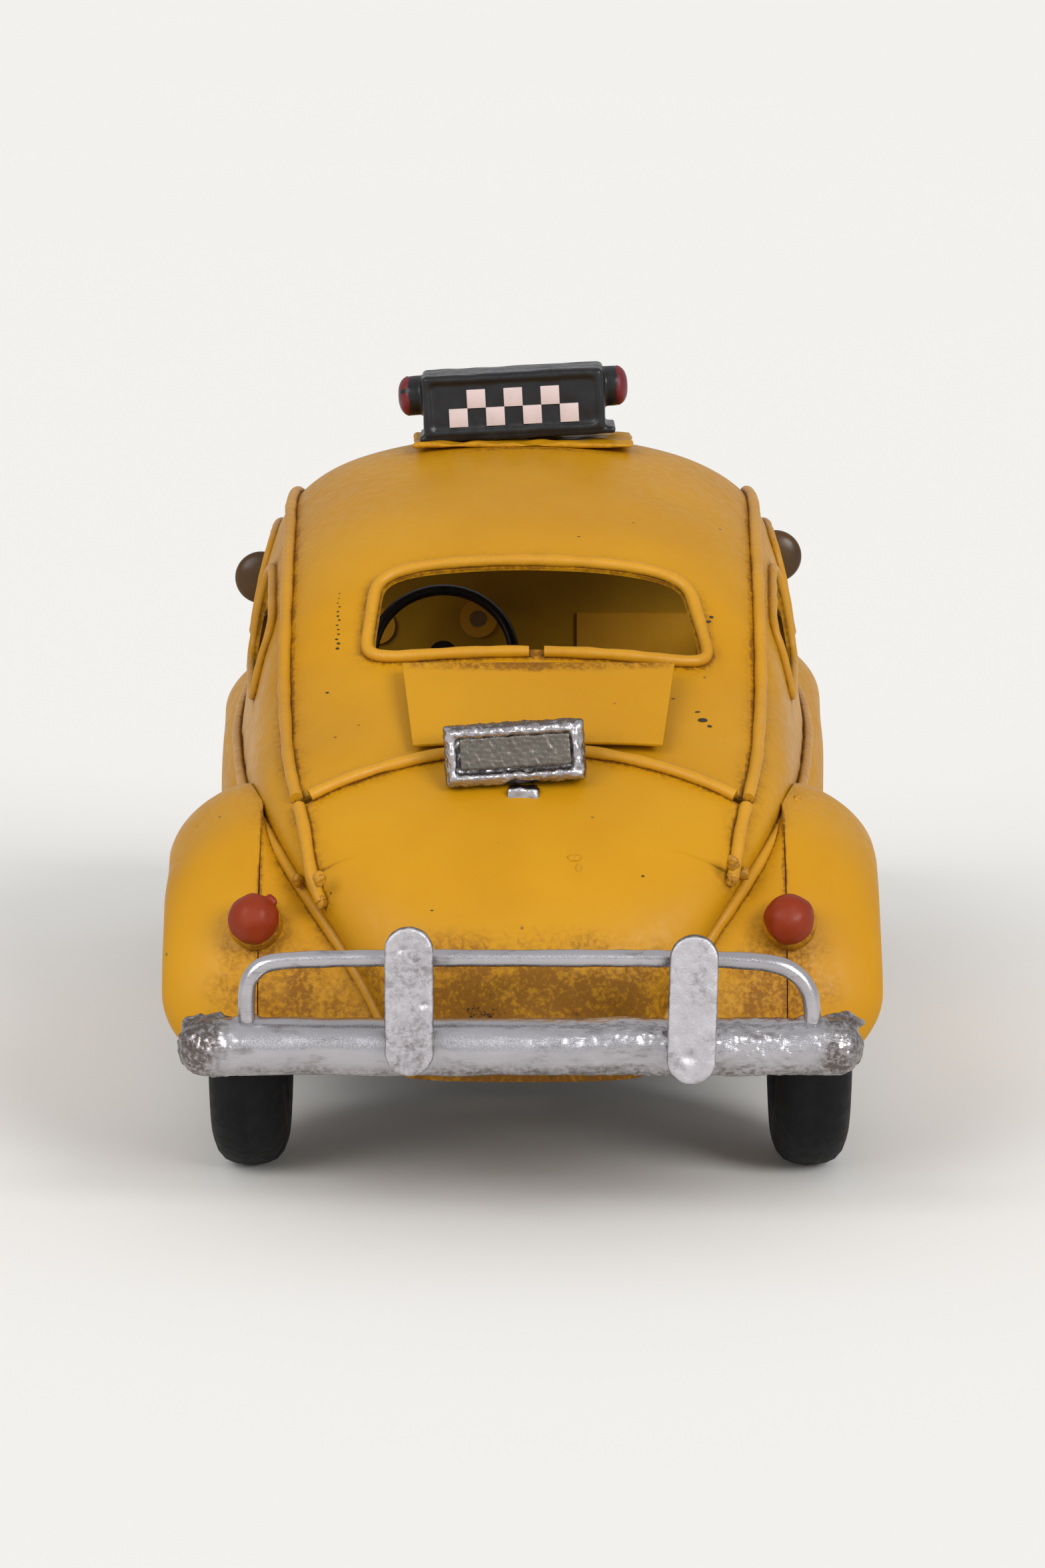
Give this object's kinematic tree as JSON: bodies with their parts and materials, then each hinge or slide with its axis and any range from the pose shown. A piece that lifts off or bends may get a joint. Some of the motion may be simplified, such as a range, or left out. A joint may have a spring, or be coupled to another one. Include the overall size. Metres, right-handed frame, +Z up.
{
  "type": "friction drive tin car",
  "caption": "Rounded tin saloon taxi with bead seams, open windows, a tilted roof sign and a friction drive geared to its rear axle.",
  "frame": {"origin": "middle of the car's outline on the ground, under the tyres", "axes": "+Y towards the front along the car's length, +X to its right-hand side, +Z up"},
  "size_m": [0.0728, 0.182, 0.0776],
  "materials": {
    "yellow_paint": "satin mustard enamel, brown antiquing wash beside the beads",
    "silver_paint": "brushed-on silver paint, lumpy over the solder",
    "black_paint": "satin black enamel",
    "crimson_paint": "dark crimson enamel, hand touched",
    "red_lamp_paint": "semi-matt brick-red enamel",
    "steel": "drawn wire, bright",
    "brass": "stamped brass",
    "tyre": "smooth black rubber",
    "mirror_grey": "olive-grey enamel, worn",
    "cast_iron": "blackened casting",
    "cream_paint": "cream enamel",
    "tinplate": "grey tinplate"
  },
  "bodies": {
    "car_body": {"floor_pan": "tinplate", "roof_and_rear_panel": "yellow_paint", "left_side_panel": "yellow_paint", "right_side_panel": "yellow_paint", "engine_lid": "yellow_paint", "bonnet": "yellow_paint", "left_rear_fender": "yellow_paint", "right_rear_fender": "yellow_paint", "left_front_fender": "yellow_paint", "right_front_fender": "yellow_paint", "left_rear_gusset": "yellow_paint", "right_rear_gusset": "yellow_paint", "left_running_board": "silver_paint", "right_running_board": "silver_paint", "louvre_plate": "yellow_paint", "rear_window_bead": "yellow_paint", "windscreen_bead": "yellow_paint", "side_seam_beads": "yellow_paint", "lid_arc_bead": "yellow_paint", "fender_beads": "yellow_paint", "side_window_beads": "yellow_paint", "belt_beads": "yellow_paint", "rear_bumper_tube": "silver_paint", "rear_bumper_brackets": "silver_paint", "rear_bumper_rail": "silver_paint", "rear_overriders": "silver_paint", "front_bumper_tube": "silver_paint", "front_bumper_brackets": "silver_paint", "tail_lamp_bases": "yellow_paint", "tail_lamp_domes": "red_lamp_paint", "licence_lamp_housing": "silver_paint", "licence_lamp_tab": "silver_paint", "headlamp_rims": "silver_paint", "headlamp_lenses": "cream_paint", "sign_base": "yellow_paint", "sign_box": "black_paint", "sign_end_lamps": "black_paint", "sign_lamp_caps": "crimson_paint", "left_mirror": "mirror_grey", "right_mirror": "mirror_grey", "dash_panel": "yellow_paint", "dash_gauges": "yellow_paint", "steering_column": "steel", "drive_frame": "tinplate", "rear_axle_brackets": "tinplate", "front_axle_brackets": "tinplate"},
    "rear_axle_set": {"rear_axle": "steel", "drive_gear": "brass", "left_rear_tyre": "tyre", "right_rear_tyre": "tyre", "left_rear_wheel": "yellow_paint", "right_rear_wheel": "yellow_paint"},
    "layshaft_set": {"layshaft": "brass"},
    "flywheel_set": {"flywheel": "cast_iron"},
    "front_axle_set": {"front_axle": "steel", "left_front_tyre": "tyre", "right_front_tyre": "tyre", "left_front_wheel": "yellow_paint", "right_front_wheel": "yellow_paint"},
    "steering_wheel_set": {"steering_wheel": "black_paint"}
  },
  "joints": [
    {"name": "rear_axle_spin", "type": "hinge", "parent": "car_body", "child": "rear_axle_set", "pos_m": [0, -0.051, 0.0155], "axis": [1, 0, 0], "continuous": true},
    {"name": "layshaft_spin", "type": "hinge", "parent": "car_body", "child": "layshaft_set", "pos_m": [0, -0.042, 0.0155], "axis": [1, 0, 0], "continuous": true},
    {"name": "flywheel_spin", "type": "hinge", "parent": "car_body", "child": "flywheel_set", "pos_m": [0, -0.033, 0.0155], "axis": [1, 0, 0], "continuous": true},
    {"name": "front_axle_spin", "type": "hinge", "parent": "car_body", "child": "front_axle_set", "pos_m": [0, 0.056, 0.0155], "axis": [1, 0, 0], "continuous": true},
    {"name": "steering_wheel_turn", "type": "hinge", "parent": "car_body", "child": "steering_wheel_set", "pos_m": [-0.0092, 0.0256, 0.0414], "axis": [0, -0.8799, 0.4751], "continuous": true}
  ],
  "couplings": [
    {"joint": "layshaft_spin", "follows": "rear_axle_spin", "ratio": -2},
    {"joint": "flywheel_spin", "follows": "rear_axle_spin", "ratio": 4}
  ]
}
